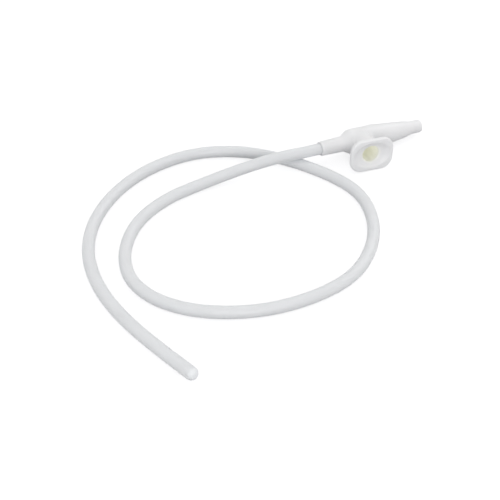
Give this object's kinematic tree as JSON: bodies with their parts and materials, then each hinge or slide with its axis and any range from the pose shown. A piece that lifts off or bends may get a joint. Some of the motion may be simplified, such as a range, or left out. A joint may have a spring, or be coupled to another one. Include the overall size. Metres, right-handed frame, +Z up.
{
  "type": "suction catheter",
  "caption": "Airway suction catheter: a soft tube lying in one open loop that crosses itself, bonded into a moulded connector with a thumb port and a tapered hose end.",
  "frame": {"origin": "on the table under the middle of the connector's bounding box (the tube left out)", "axes": "+Z up from the table; +X from the tube towards the hose end, along the connector seen from above; the thumb port faces -Y. The connector's axis dips by 3.5 degrees towards +X, because the tube crosses over itself just before it."},
  "size_m": [0.1787, 0.1296, 0.0163],
  "materials": {
    "tube_pvc": "soft frosted translucent PVC, faintly bluish grey",
    "connector_white": "moulded white polyethylene, satin"
  },
  "bodies": {
    "root": {"catheter_tube": "tube_pvc", "connector": "connector_white"}
  },
  "joints": []
}
